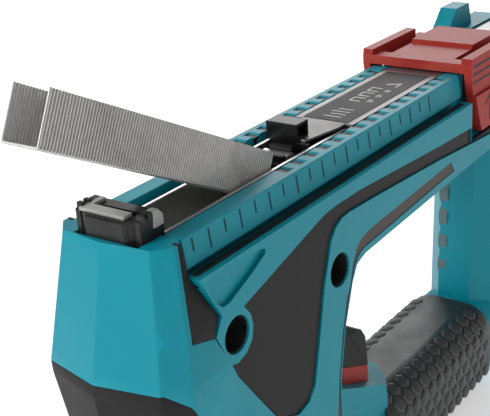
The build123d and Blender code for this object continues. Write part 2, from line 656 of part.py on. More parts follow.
def gearbox_plate():
    """Bearing plate between the motor and the wheel."""
    plate = box(GEAR_X - 6, MOTOR_X + 10, -5.0, -2.0, MOTOR_Z + MOTOR_RADIUS + 0.5, GEAR_Z + 8)
    return plate - rod_y(GEAR_X, -6, 0, GEAR_Z, AXLE_RADIUS)


def circuit_board():
    return box(-44.0, -2.0, -8.5, 8.5, 6.0, 7.6)


def trigger_switch():
    return box(TRIGGER_FRONT + 4, TRIGGER_REAR - 8, -7.0, 7.0, 8.6, SWITCH_TOP)


def trigger_spring():
    """Return spring between the switch and the trigger, drawn as its outline."""
    x = (TRIGGER_FRONT + TRIGGER_REAR) / 2 - 2
    return (rod_z(x, 0, SWITCH_TOP, TRIGGER_FOOT, 2.6)
            - rod_z(x, 0, SWITCH_TOP - 1, TRIGGER_FOOT + 1, 1.8))


def trigger():
    front, rear = TRIGGER_SPLIT
    outline = [(TRIGGER_FRONT, front), (TRIGGER_FRONT, TRIGGER_TOP - 1.0), (-36.0, TRIGGER_TOP),
               (-27.0, TRIGGER_TOP - 0.4), (-19.0, TRIGGER_TOP - 4.5),
               (-16.6, TRIGGER_TOP - 8.0), (TRIGGER_REAR, rear)]
    dish = Pos(-24.0, 0, TRIGGER_TOP + 15.0) * Rot(90, 0, 0) * Cylinder(18.0, 40)
    return side_prism(outline, -TRIGGER_HALF, TRIGGER_HALF) - dish


def trigger_base():
    """Red lower band of the trigger that disappears into the handle when it is pressed."""
    front, rear = TRIGGER_SPLIT
    outline = [(TRIGGER_FRONT, TRIGGER_FOOT), (TRIGGER_FRONT, front), (TRIGGER_REAR, rear),
               (TRIGGER_REAR, TRIGGER_FOOT)]
    return side_prism(outline, -TRIGGER_HALF, TRIGGER_HALF)


# ---------------------------------------------------------------- latch
def latch():
    """Red latch that bridges the magazine, with a flange and a leg on each side."""
    x0, x1 = LATCH_FRONT, LATCH_FRONT + LATCH_LENGTH
    low = LIP_Z + FIT
    shape = box(x0, x0 + LATCH_BAR, -LATCH_HALF, LATCH_HALF, low, LATCH_TOP)
    shape = shape + box(x0, x1, -LATCH_HALF, LATCH_HALF, low, low + LATCH_WEB)
    shape = shape + box(x0, x1, -LATCH_PLATE_HALF, LATCH_PLATE_HALF, low, LATCH_TOP)
    pad = [(x0 + 17.0, LATCH_TOP - 0.5), (x0 + 18.8, LATCH_TOP + 1.2), (x1 - 1.2, LATCH_TOP + 1.2),
           (x1, LATCH_TOP - 0.5)]
    shape = shape + side_prism(pad, -LATCH_PLATE_HALF, LATCH_PLATE_HALF)
    flange = [(x0, low), (x0, LATCH_TOP - 1), (x0 + 0.4, FLANGE_TOP),
              (x0 + FLANGE_LENGTH, FLANGE_TOP), (x0 + FLANGE_LENGTH, low)]
    leg = [(x0, low), (x0 + 1.5, LIP_Z - 6.0), (x0 + 6.6, LUG_BOTTOM), (x0 + 21.0, LUG_BOTTOM),
           (x0 + 27.0, LIP_Z - 6.0), (x0 + 27.0, low)]
    shield = [(x0 + 2.0, SHIELD_TOP), (x0 + 6.6, LUG_BOTTOM), (x0 + 21.0, LUG_BOTTOM),
              (x0 + 26.4, SHIELD_TOP)]
    shape = shape + both_faces(flange, LATCH_HALF, LATCH_HALF - FLANGE_SHEET)
    shape = shape + both_faces(leg, LATCH_HALF, LATCH_HALF - LEG_SHEET)
    return shape + both_faces(shield, LATCH_HALF + SHIELD_STEP, LATCH_HALF - LEG_SHEET)


def latch_hooks():
    """Steel tongue that hangs from the latch beside the cover and holds it closed."""
    x0 = LATCH_FRONT + 4
    shape = None
    for side in (-1, 1):
        y0, y1 = sorted((side * (MAG_TAIL_HALF + FIT), side * (MAG_TAIL_HALF + FIT + 1.2)))
        tongue = box(x0, x0 + 14, y0, y1, LIP_Z - 8.0, LIP_Z + FIT)
        shape = tongue if shape is None else shape + tongue
    return shape


# ---------------------------------------------------------------- battery
def battery_pack():
    """Slide-on pack behind the foot."""
    x0, x1 = FOOT_REAR + FIT, FOOT_REAR + FIT + PACK_LENGTH
    shape = box(x0, x1, -PACK_HALF, PACK_HALF, PACK_BOTTOM, PACK_TOP)
    shape = fillet(shape.edges().filter_by(Axis.Z), 6.0)
    shape = chamfer(shape.edges().group_by(Axis.Z)[0], 2.0)
    groove = box(x0 - 1, x0 + RAIL_OUT + FIT, -RAIL_WIDE - FIT, RAIL_WIDE + FIT, PACK_BOTTOM - 1,
                 PACK_TOP - 6.0)
    pocket = box(x1 - 3.4, x1 + 1, -BUTTON_HALF - FIT, BUTTON_HALF + FIT,
                 PACK_TOP - 24.0 - FIT, PACK_TOP - 12.0 + FIT)
    return shape - groove - pocket


def pack_rails():
    """Guide rail on the back of the foot that the pack slides on."""
    return box(FOOT_REAR, FOOT_REAR + RAIL_OUT, -RAIL_WIDE, RAIL_WIDE, FOOT_BOTTOM + 6,
               LIP_Z - 16.0)


def pack_contacts():
    """Blade contacts between the rails."""
    return [box(FOOT_REAR + RAIL_OUT, FOOT_REAR + RAIL_OUT + 0.3, y - 1.5, y + 1.5,
                FOOT_BOTTOM + 10, FOOT_BOTTOM + 24) for y in (-9.0, 0.0, 9.0)]


def pack_button():
    """Button that frees the pack."""
    x1 = FOOT_REAR + FIT + PACK_LENGTH
    return box(x1 - 1.9, x1 - 0.1 + 0.6, -BUTTON_HALF, BUTTON_HALF, PACK_TOP - 24.0, PACK_TOP
               - 12.0)


# ---------------------------------------------------------------- output
HOUSING = housing_shell()

NODES = {
    "front_cover": front_cover,
    "top_cap": top_cap,
    "cheek_left": lambda: cheek(1),
    "cheek_right": lambda: cheek(-1),
    "housing_left": lambda: housing_half(1),
    "housing_right": lambda: housing_half(-1),
    "infill_panel_left": lambda: infill_panel(1),
    "infill_panel_right": lambda: infill_panel(-1),
    "opening_trim_left": lambda: opening_trim(1),
    "opening_trim_right": lambda: opening_trim(-1),
    "side_seal_left": lambda: side_seal(1),
    "side_seal_right": lambda: side_seal(-1),
    "grip_sleeve": grip_sleeve,
    "housing_screws": housing_screws,
    "rating_plate": rating_plate,
    "magazine_housing": magazine_housing,
    "magazine_rails": magazine_rails,
    "magazine_screws": magazine_screws,
    "cover_plate": cover_plate,
    "cover_label": cover_label,
    "cover_bracket": cover_bracket,
    "pusher": pusher,
    "pusher_clip": pusher_clip,
    "pusher_spring": pusher_spring,
    "staple_strip": staple_strip,
    "contact_nose": contact_nose,
    "nose_pad": nose_pad,
    "nose_guide": nose_guide,
    "nose_springs": nose_springs,
    "driver_blade": driver_blade,
    "driver_carriage": driver_carriage,
    "main_spring": main_spring,
    "bumper": bumper,
    "motor_can": motor_can,
    "motor_pinion": motor_pinion,
    "drive_gear": drive_gear,
    "gear_axle": gear_axle,
    "gearbox_plate": gearbox_plate,
    "circuit_board": circuit_board,
    "trigger_switch": trigger_switch,
    "trigger_spring": trigger_spring,
    "trigger": trigger,
    "trigger_base": trigger_base,
    "latch": latch,
    "latch_hooks": latch_hooks,
    "battery_pack": battery_pack,
    "pack_rails": pack_rails,
    "pack_contacts": pack_contacts,
    "pack_button": pack_button,
}


def main():
    os.makedirs("parts", exist_ok=True)
    for name, make in NODES.items():
        made = make()
        solids = made if isinstance(made, list) else made.solids()
        solids = [solid for piece in solids for solid in piece.solids()]
        body = solids[0] if len(solids) == 1 else Compound(children=solids)
        export_step(body, f"parts/{name}.step")


main()
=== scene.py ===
"""Finishes, small parts, light and camera for the cordless stapler in its loading position."""

import math

import bmesh
import bpy
from mathutils import Matrix, Vector


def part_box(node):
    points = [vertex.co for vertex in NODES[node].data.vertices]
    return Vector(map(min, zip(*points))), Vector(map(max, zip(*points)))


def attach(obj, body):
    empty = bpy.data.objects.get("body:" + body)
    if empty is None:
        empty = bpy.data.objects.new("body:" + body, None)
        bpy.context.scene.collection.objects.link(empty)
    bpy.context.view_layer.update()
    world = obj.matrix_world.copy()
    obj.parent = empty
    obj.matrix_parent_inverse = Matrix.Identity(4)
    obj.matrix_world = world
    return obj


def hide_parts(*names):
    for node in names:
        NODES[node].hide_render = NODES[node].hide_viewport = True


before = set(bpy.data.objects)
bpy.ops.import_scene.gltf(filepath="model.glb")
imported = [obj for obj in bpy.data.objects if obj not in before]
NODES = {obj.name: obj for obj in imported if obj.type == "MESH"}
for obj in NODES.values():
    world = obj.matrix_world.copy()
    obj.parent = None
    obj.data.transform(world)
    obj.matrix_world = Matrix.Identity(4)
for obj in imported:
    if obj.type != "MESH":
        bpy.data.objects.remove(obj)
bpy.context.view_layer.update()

MM = 0.001


# ---------------------------------------------------------------- shader writing
class Value:
    """One output of a shader node, usable in arithmetic."""

    def __init__(self, finish, socket):
        self.finish = finish
        self.socket = socket

    def math(self, operation, first, second=0.0):
        return self.finish.make("ShaderNodeMath", {"operation": operation}, {0: first, 1: second})

    def __add__(self, other):
        return self.math("ADD", self, other)

    def __sub__(self, other):
        return self.math("SUBTRACT", self, other)

    def __rsub__(self, other):
        return self.math("SUBTRACT", other, self)

    def __mul__(self, other):
        return self.math("MULTIPLY", self, other)

    def __truediv__(self, other):
        return self.math("DIVIDE", self, other)

    def __lt__(self, other):
        return self.math("LESS_THAN", self, other)

    __radd__ = __add__
    __rmul__ = __mul__

    def distance_to(self, other):
        return self.math("ABSOLUTE", self - other)

    def phase(self):
        return self.math("FRACT", self)


class Finish:
    """A material with one Principled shader, built from named values."""

    def __init__(self, name, **uniform):
        self.material = bpy.data.materials.new(name)
        self.material.use_nodes = True
        self.tree = self.material.node_tree
        self.shader = self.tree.nodes["Principled BSDF"]
        for socket, value in uniform.items():
            self.shader.inputs[socket.replace("_", " ")].default_value = value
        self.place = self.make("ShaderNodeTexCoord", output="Object")

    def make(self, kind, settings=None, values=None, output=0):
        """Adds a node: settings first, then the values or links of its sockets."""
        node = self.tree.nodes.new(kind)
        for name, setting in (settings or {}).items():
            setattr(node, name, setting)
        for name, value in (values or {}).items():
            self.feed(node.inputs[name], value)
        return Value(self, node.outputs[output])

    def feed(self, socket, value):
        if isinstance(value, Value):
            self.tree.links.new(value.socket, socket)
        else:
            socket.default_value = value

    def set(self, **sockets):
        for name, value in sockets.items():
            self.feed(self.shader.inputs[name.replace("_", " ")], value)
        return self

    def noise(self, size, detail=3.0, rough=0.55, stretch=None):
        """Noise whose features are about size metres across."""
        place = self.place if stretch is None else self.stretched(stretch)
        values = {"Vector": place, "Scale": 1.0 / size, "Detail": detail, "Roughness": rough}
        return self.make("ShaderNodeTexNoise", None, values)

    def stretched(self, scale):
        return self.make("ShaderNodeMapping", None, {"Vector": self.place, "Scale": scale})

    def axis(self, letter):
        return self.make("ShaderNodeSeparateXYZ", None, {"Vector": self.place}, letter)

    def mix(self, factor, low, high):
        """Mixes two colours."""
        node = self.tree.nodes.new("ShaderNodeMix")
        node.data_type = "RGBA"
        for socket, value in ((node.inputs[0], factor), (node.inputs[6], low),
                              (node.inputs[7], high)):
            self.feed(socket, value)
        return Value(self, node.outputs[2])

    def spread(self, value, low, high):
        """Stretches a 0 to 1 value so that low becomes 0 and high becomes 1."""
        values = {"Value": value, "From Min": low, "From Max": high}
        return self.make("ShaderNodeMapRange", None, values)

    def edges(self):
        """Near 1 along worn edges."""
        pointed = self.make("ShaderNodeNewGeometry", None, None, "Pointiness")
        return self.spread(pointed, 0.51, 0.62)

    def bump(self, height, strength, depth):
        values = {"Height": height, "Strength": strength, "Distance": depth}
        return self.make("ShaderNodeBump", None, values)


def colour(red, green, blue):
    return (red, green, blue, 1.0)


# ---------------------------------------------------------------- finishes
def moulded(name, base, worn, roughness, grain=0.0006, depth=0.00004, **uniform):
    """Injection-moulded plastic: fine spark texture, faint cloudiness, rubbed edges."""
    finish = Finish(name, **uniform)
    cloud = finish.noise(0.035, 4.0)
    smudge = finish.noise(0.009, 5.0)
    texture = finish.noise(grain, 2.0)
    scratch = finish.spread(finish.noise(0.004, 6.0, 0.7, (1.0, 6.0, 9.0)), 0.64, 0.72)
    darker = tuple(0.86 * channel for channel in base[:3]) + (1.0,)
    body = finish.mix(cloud, base, darker)
    rubbed = finish.edges() * finish.spread(smudge, 0.35, 0.7) * 0.45
    paint = finish.mix(rubbed + scratch * 0.05, body, worn)
    shine = smudge * 0.12 + (roughness - 0.06) + texture * 0.05
    bumps = finish.bump(texture, 0.35, depth)
    return finish.set(Base_Color=paint, Roughness=shine, Normal=bumps).material


def rubber(name, base):
    """Soft overmould with a dusty bloom."""
    finish = Finish(name)
    dust = finish.spread(finish.noise(0.012, 6.0, 0.65), 0.45, 0.75)
    pores = finish.noise(0.0005, 3.0)
    paint = finish.mix(dust * 0.3, base, colour(0.05, 0.05, 0.048))
    paint = finish.mix(finish.edges() * 0.4, paint, colour(0.10, 0.098, 0.095))
    bumps = finish.bump(pores, 0.5, 0.00005)
    return finish.set(Base_Color=paint, Roughness=dust * 0.14 + 0.38, Normal=bumps).material


def brushed(name, base, roughness, along=(3.0, 60.0, 60.0)):
    """Sheet steel brushed along X, with faint stains and bright edges."""
    finish = Finish(name, Metallic=1.0)
    lines = finish.noise(0.02, 4.0, 0.6, along)
    stain = finish.spread(finish.noise(0.014, 5.0), 0.45, 0.8)
    dark = tuple(0.62 * channel for channel in base[:3]) + (1.0,)
    paint = finish.mix(stain * 0.5, base, dark)
    paint = finish.mix(finish.edges() * 0.5, paint, colour(0.85, 0.85, 0.84))
    shine = lines * 0.16 + (roughness - 0.08) + stain * 0.1
    bumps = finish.bump(lines, 0.25, 0.00003)
    return finish.set(Base_Color=paint, Roughness=shine, Normal=bumps).material


def galvanised(name):
    """Zinc-grey staple wire with a film of yellowish glue."""
    finish = Finish(name, Metallic=0.85)
    spangle = finish.noise(0.0016, 3.0)
    glue = finish.spread(finish.noise(0.008, 5.0), 0.5, 0.68)
    paint = finish.mix(spangle, colour(0.36, 0.355, 0.345), colour(0.56, 0.55, 0.54))
    paint = finish.mix(glue * 0.3, paint, colour(0.22, 0.20, 0.16))
    bumps = finish.bump(spangle, 0.3, 0.00004)
    return finish.set(Base_Color=paint, Roughness=glue * 0.10 + 0.34, Normal=bumps).material


def film(name, base, ink, pitch):
    """Printed film with a fine dot screen and scuffs."""
    finish = Finish(name)
    scuff = finish.spread(finish.noise(0.006, 6.0, 0.7, (1.0, 5.0, 1.0)), 0.6, 0.75)
    across = ((finish.axis("Y") / pitch).phase().distance_to(0.5) < 0.12)
    paint = finish.mix(across * 0.35, base, ink)
    paint = finish.mix(scuff * 0.3, paint, colour(0.3, 0.3, 0.3))
    bumps = finish.bump(finish.noise(0.0009), 0.15, 0.00003)
    return finish.set(Base_Color=paint, Roughness=scuff * 0.25 + 0.3, Normal=bumps).material


TEAL = moulded("teal moulding", colour(0.0, 0.245, 0.315), colour(0.04, 0.38, 0.44), 0.38,
               Specular_IOR_Level=0.22)
RED = moulded("red moulding", colour(0.33, 0.020, 0.014), colour(0.50, 0.10, 0.07), 0.42,
              Specular_IOR_Level=0.2)
BLACK = moulded("black moulding and painted shade", colour(0.005, 0.005, 0.006), colour(0.05, 0.05, 0.05), 0.42,
                Specular_IOR_Level=0.2)
GREY = moulded("dark grey moulding", colour(0.009, 0.008, 0.008), colour(0.05, 0.05, 0.05), 0.5,
               Specular_IOR_Level=0.2)
PAD = moulded("foot edge moulding", colour(0.16, 0.16, 0.155), colour(0.3, 0.3, 0.3), 0.5)
TRIM = moulded("warm grey trim", colour(0.065, 0.052, 0.048), colour(0.16, 0.14, 0.13), 0.5,
               Specular_IOR_Level=0.25)
GLOSS = moulded("polished black", colour(0.004, 0.004, 0.004), colour(0.09, 0.09, 0.09), 0.30,
                0.002, 0.00002, Specular_IOR_Level=0.22)
RIDGE = moulded("post ridge", colour(0.10, 0.17, 0.18), colour(0.3, 0.3, 0.29), 0.5,
                Specular_IOR_Level=0.2)
INK = moulded("moulded mark", colour(0.001, 0.030, 0.042), colour(0.01, 0.08, 0.1), 0.5,
              Specular_IOR_Level=0.2)
PALE = moulded("pale print", colour(0.62, 0.62, 0.60), colour(0.8, 0.8, 0.8), 0.45)
WEAR = moulded("grey wear plate", colour(0.30, 0.30, 0.29), colour(0.6, 0.6, 0.6), 0.4)
GRIP = rubber("grip rubber", colour(0.010, 0.010, 0.010))
HEXAGON = rubber("hexagon rubber", colour(0.020, 0.019, 0.019))
STEEL = brushed("bright steel", colour(0.66, 0.66, 0.65), 0.30)
SATIN = brushed("satin grey sheet", colour(0.085, 0.08, 0.08), 0.46)
DARK_STEEL = brushed("blackened steel", colour(0.04, 0.04, 0.042), 0.34)
WIRE = galvanised("galvanised wire")
LABEL = moulded("dark label film", colour(0.020, 0.020, 0.020), colour(0.06, 0.06, 0.06), 0.5,
                Specular_IOR_Level=0.15)
RATING = film("rating film", colour(0.55, 0.55, 0.54), colour(0.12, 0.12, 0.12), 0.0019)
BOARD = moulded("circuit board", colour(0.01, 0.09, 0.03), colour(0.2, 0.3, 0.1), 0.4)
BRASS = brushed("plated brass", colour(0.70, 0.50, 0.20), 0.28)

FINISH_OF = {
    "front_cover": TEAL, "housing_left": TEAL, "housing_right": TEAL, "magazine_housing": TEAL,
    "top_cap": GREY, "cheek_left": GREY, "cheek_right": GREY, "infill_panel_left": GREY,
    "infill_panel_right": GREY, "opening_trim_left": TRIM, "opening_trim_right": TRIM,
    "side_seal_left": BLACK, "side_seal_right": BLACK, "grip_sleeve": GRIP,
    "housing_screws": DARK_STEEL, "rating_plate": BLACK, "magazine_rails": STEEL,
    "magazine_screws": DARK_STEEL, "cover_plate": SATIN, "cover_label": LABEL,
    "cover_bracket": GLOSS, "pusher": BLACK, "pusher_clip": STEEL, "pusher_spring": STEEL,
    "contact_nose": GLOSS, "nose_pad": WEAR, "nose_guide": DARK_STEEL, "nose_springs": STEEL,
    "driver_blade": STEEL, "driver_carriage": DARK_STEEL, "main_spring": STEEL,
    "bumper": GRIP, "motor_can": DARK_STEEL, "motor_pinion": DARK_STEEL,
    "drive_gear": DARK_STEEL, "gear_axle": STEEL, "gearbox_plate": DARK_STEEL,
    "circuit_board": BOARD, "trigger_switch": BLACK, "trigger_spring": STEEL,
    "trigger": GREY, "trigger_base": RED, "latch": RED, "latch_hooks": STEEL,
    "battery_pack": GREY, "pack_rails": BLACK, "pack_contacts": BRASS, "pack_button": RED,
}
EDGE_OF = {
    "front_cover": 0.7, "top_cap": 0.8, "housing_left": 0.6, "housing_right": 0.6,
    "magazine_housing": 0.35, "latch": 0.5, "trigger": 1.4, "trigger_base": 0.5,
    "contact_nose": 0.6, "battery_pack": 0.8, "cover_bracket": 0.3, "cover_plate": 0.15,
    "pusher": 0.3, "infill_panel_left": 0.4, "infill_panel_right": 0.4, "cheek_left": 0.4,
    "cheek_right": 0.4, "magazine_rails": 0.2, "grip_sleeve": 0.5, "pack_button": 0.4,
    "opening_trim_left": 0.25, "opening_trim_right": 0.25, "nose_pad": 0.2,
}
EDGE_ANGLE = math.radians(28)


def dress_cad_nodes():
    """Gives every CAD node its finish, and eases the edges of the moulded ones."""
    for name, finish in FINISH_OF.items():
        piece = NODES[name]
        for place in piece.material_slots:
            place.material = finish
    for name, width in EDGE_OF.items():
        merge = NODES[name].modifiers.new("merge", "WELD")
        merge.merge_threshold = 0.00001
        edge = NODES[name].modifiers.new("eased edges", "BEVEL")
        edge.width = width * MM
        edge.segments = 2
        edge.limit_method = "ANGLE"
        edge.angle_limit = EDGE_ANGLE


# ---------------------------------------------------------------- small meshes
def slab(low, high):
    """Corners and faces of a block."""
    corners = [(x, y, z) for x in (low[0], high[0]) for y in (low[1], high[1])
               for z in (low[2], high[2])]
    faces = [(0, 1, 3, 2), (4, 6, 7, 5), (0, 4, 5, 1), (2, 3, 7, 6), (0, 2, 6, 4), (1, 5, 7, 3)]
    return corners, faces


def prism(outline, start, end, place):
    """An outline pushed from start to end; place turns (a, b, depth) into a point."""
    count = len(outline)
    corners = [place(a, b, start) for a, b in outline] + [place(a, b, end) for a, b in outline]
    sides = [(i, (i + 1) % count, count + (i + 1) % count, count + i) for i in range(count)]
    faces = [tuple(reversed(range(count))), tuple(range(count, 2 * count))] + sides
    return corners, faces


def along_y(a, b, depth):
    return (a, depth, b)


def along_z(a, b, depth):
    return (a, b, depth)


def build(name, shapes, edge=0.0, segments=2):
    """One mesh from several (corners, faces), with eased edges."""
    mesh = bmesh.new()
    for corners, faces in shapes:
        made = [mesh.verts.new([MM * value for value in corner]) for corner in corners]
        for face in faces:
            mesh.faces.new([made[index] for index in face])
    bmesh.ops.recalc_face_normals(mesh, faces=mesh.faces)
    if edge:
        bmesh.ops.bevel(mesh, geom=mesh.edges[:], offset=edge * MM, segments=segments,
                        affect="EDGES", profile=0.6, clamp_overlap=True)
    data = bpy.data.meshes.new(name)
    mesh.to_mesh(data)
    mesh.free()
    piece = bpy.data.objects.new(name, data)
    bpy.context.scene.collection.objects.link(piece)
    return piece


def finish_piece(piece, finish, slot, body, *replaced):
    piece.data.materials.clear()
    piece.data.materials.append(finish)
    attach(piece, body)
    if replaced:
        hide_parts(*replaced)
    return piece


# ---------------------------------------------------------------- repeated pieces
def repeat_tree(name, sockets):
    """A node tree with a carrier mesh coming in, named inputs, and a mesh going out."""
    tree = bpy.data.node_groups.new(name, "GeometryNodeTree")
    tree.interface.new_socket("Geometry", in_out="OUTPUT", socket_type="NodeSocketGeometry")
    tree.interface.new_socket("Carrier", in_out="INPUT", socket_type="NodeSocketGeometry")
    for label, kind in sockets:
        tree.interface.new_socket(label, in_out="INPUT", socket_type=kind)
    return tree


def add(tree, kind, links=None, **settings):
    node = tree.nodes.new(kind)
    for name, value in settings.items():
        setattr(node, name, value)
    for socket, source in (links or {}).items():
        if hasattr(source, "is_output"):
            tree.links.new(source, node.inputs[socket])
        else:
            node.inputs[socket].default_value = source
    return node


def row_tree():
    """Copies of a unit piece in a straight row."""
    tree = repeat_tree("straight row", [("Unit", "NodeSocketObject"), ("Count", "NodeSocketInt"),
                                        ("Start", "NodeSocketVector"),
                                        ("Step", "NodeSocketVector"),
                                        ("Finish", "NodeSocketMaterial")])
    given = add(tree, "NodeGroupInput").outputs
    line = add(tree, "GeometryNodeMeshLine", {"Count": given["Count"],
                                              "Start Location": given["Start"],
                                              "Offset": given["Step"]})
    return place_units(tree, given, line.outputs[0], None)


def skin_tree():
    """Copies of a unit piece on the points of a carrier, each turned to face outwards."""
    tree = repeat_tree("pieces on a skin", [("Unit", "NodeSocketObject"),
                                            ("Finish", "NodeSocketMaterial")])
    given = add(tree, "NodeGroupInput").outputs
    outward = add(tree, "GeometryNodeInputNamedAttribute", {"Name": "outward"},
                  data_type="FLOAT_VECTOR")
    turn = add(tree, "FunctionNodeAlignRotationToVector", {"Vector": outward.outputs[0]},
               axis="Z", pivot_axis="X")
    return place_units(tree, given, given["Carrier"], turn.outputs[0])


def place_units(tree, given, points, turn):
    unit = add(tree, "GeometryNodeObjectInfo", {"Object": given["Unit"]})
    links = {"Points": points, "Instance": unit.outputs["Geometry"]}
    if turn is not None:
        links["Rotation"] = turn
    copies = add(tree, "GeometryNodeInstanceOnPoints", links)
    solid = add(tree, "GeometryNodeRealizeInstances", {"Geometry": copies.outputs[0]})
    dressed = add(tree, "GeometryNodeSetMaterial", {"Geometry": solid.outputs[0],
                                                    "Material": given["Finish"]})
    add(tree, "NodeGroupOutput", {0: dressed.outputs[0]})
    return tree


def grow(name, carrier, tree, **inputs):
    """Runs a tree on a carrier and keeps the result as a plain mesh."""
    modifier = carrier.modifiers.new("repeat", "NODES")
    modifier.node_group = tree
    for item in tree.interface.items_tree:
        if item.in_out == "INPUT" and item.name in inputs:
            modifier[item.identifier] = inputs[item.name]
    evaluated = carrier.evaluated_get(bpy.context.evaluated_depsgraph_get())
    data = bpy.data.meshes.new_from_object(evaluated)
    data.name = name
    bpy.data.objects.remove(carrier)
    piece = bpy.data.objects.new(name, data)
    bpy.context.scene.collection.objects.link(piece)
    return piece


ROW = row_tree()
SKIN = skin_tree()


def row(name, unit, count, start, step, finish):
    """A straight row of a unit piece, which isn't kept."""
    carrier = build(name + "_carrier", [])
    piece = grow(name, carrier, ROW, Unit=unit, Count=count, Finish=finish,
                 Start=[MM * value for value in start], Step=[MM * value for value in step])
    bpy.data.objects.remove(unit)
    return piece


def join(name, pieces):
    """Several plain pieces as one mesh."""
    mesh = bmesh.new()
    for piece in pieces:
        mesh.from_mesh(piece.data)
        bpy.data.objects.remove(piece)
    data = bpy.data.meshes.new(name)
    mesh.to_mesh(data)
    mesh.free()
    whole = bpy.data.objects.new(name, data)
    bpy.context.scene.collection.objects.link(whole)
    return whole


# ---------------------------------------------------------------- staples
STRIP_PITCH = math.radians(27.16)
STRIP_LENGTH = 81.0
LEG = 12.3
CROWN = 10.6
STAPLE_STEP = 0.9
STAPLE_GAP = 0.24
WIRE_SIZE = 0.7


def millimetres(node):
    low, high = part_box(node)
    return [value / MM for value in low], [value / MM for value in high]


def staple_strip():
    """The glued strip: one bent wire after another, crowns down."""
    low, high = millimetres("staple_strip")
    forward = (-math.cos(STRIP_PITCH), 0.0, math.sin(STRIP_PITCH))
    upward = (math.sin(STRIP_PITCH), 0.0, math.cos(STRIP_PITCH))
    heel = (high[0] - LEG * upward[0], 0.0, low[2])

    def place(across, up, depth):
        return (forward[0] * depth + upward[0] * up, across, forward[2] * depth + upward[2] * up)

    half, inner = CROWN / 2, CROWN / 2 - WIRE_SIZE
    corner = 0.35
    outline = [(-half, LEG), (-half, corner), (-half + corner, 0), (half - corner, 0),
               (half, corner), (half, LEG), (inner, LEG), (inner, WIRE_SIZE),
               (-inner, WIRE_SIZE), (-inner, LEG)]
    unit = build("staple_unit", [prism(outline, 0.0, STAPLE_STEP - STAPLE_GAP, place)], 0.2, 1)
    count = int(STRIP_LENGTH / STAPLE_STEP)
    step = [STAPLE_STEP * value for value in forward]
    strip = row("staples", unit, count, heel, step, WIRE)
    finish_piece(strip, WIRE, "staple_wire", "staples", "staple_strip")


# ---------------------------------------------------------------- magazine
MARK_FIRST = -101.6
MARK_STEP = 5.905
MARK_COUNT = 20
MARK_LONG = 4.6
MARK_SHORT = 3.1
MARK_WIDE = 0.55
MARK_DROP = 0.8           # start of a mark below the lip
FACE_HALF = 14.9
FACE_LEAN = 0.9 / 7.1


def scale_marks():
    """Length scale moulded on both side faces of the magazine."""
    top = millimetres("magazine_housing")[1][2]
    rows = []
    for side in (-1, 1):
        for first, length, count in ((0, MARK_SHORT, MARK_COUNT // 2),
                                     (1, MARK_LONG, MARK_COUNT // 2)):
            face = FACE_HALF + FACE_LEAN * MARK_DROP
            foot = FACE_HALF + FACE_LEAN * (MARK_DROP + length)
            high_z, low_z = top - MARK_DROP, top - MARK_DROP - length
            outline = [(side * (face - 0.2), high_z), (side * (face + 0.05), high_z),
                       (side * (foot + 0.05), low_z), (side * (foot - 0.2), low_z)]
            unit = build("mark_unit", [prism(outline, 0.0, MARK_WIDE,
                                             lambda y, z, x: (x, y, z))])
            start = (MARK_FIRST + first * MARK_STEP, 0.0, 0.0)
            rows.append(row("marks", unit, count, start, (2 * MARK_STEP, 0.0, 0.0), INK))
    finish_piece(join("scale_marks", rows), INK, "teal_plastic", "housing")


RIB_FIRST = -61.0
RIB_STEP = 6.1
RIB_COUNT = 15
POCKET_INNER, POCKET_OUTER = 9.75, 12.94


def pocket_liners():
    """Dark wedges in the pockets between the ribs of both lips: painted shade where the pockets
    fall dark.
    """
    top = millimetres("magazine_housing")[1][2]
    outline = [(0.06, top - 0.45), (0.06, top - 4.1), (2.45, top - 0.45)]
    rows = []
    for side in (-1, 1):
        inner, outer = sorted((side * POCKET_INNER, side * POCKET_OUTER))
        # black wedges of painted shade, standing in the dark rib pockets
        unit = build("liner_unit", [prism(outline, inner, outer, along_y)])
        rows.append(row("liners", unit, RIB_COUNT, (RIB_FIRST, 0.0, 0.0), (RIB_STEP, 0.0, 0.0),
                        BLACK))
    finish_piece(join("pocket_liners", rows), BLACK, "black_plastic", "housing")


# ---------------------------------------------------------------- grip
HEX_STEP = 5.6            # distance between the centres of neighbouring hexagons
HEX_RADIUS = 2.75
HEX_TOP = 1.9
HEX_HEIGHT = 0.55
GRIP_CORNER = 10.0
CREST_BARE = 4.5          # smooth crest before the first row


def grip_outline(low, high, travelled):
    """Point and outward direction on one side of the grip, from the crest downwards."""
    half, top, radius = high[1], high[2], GRIP_CORNER
    flat = half - radius
    arc = radius * math.pi / 2
    if travelled < flat:
        return (travelled, top), (0.0, 1.0)
    travelled -= flat
    if travelled < arc:
        angle = travelled / radius
        outward = (math.sin(angle), math.cos(angle))
        return (flat + radius * outward[0], top - radius + radius * outward[1]), outward
    return (half, top - radius - (travelled - arc)), (1.0, 0.0)


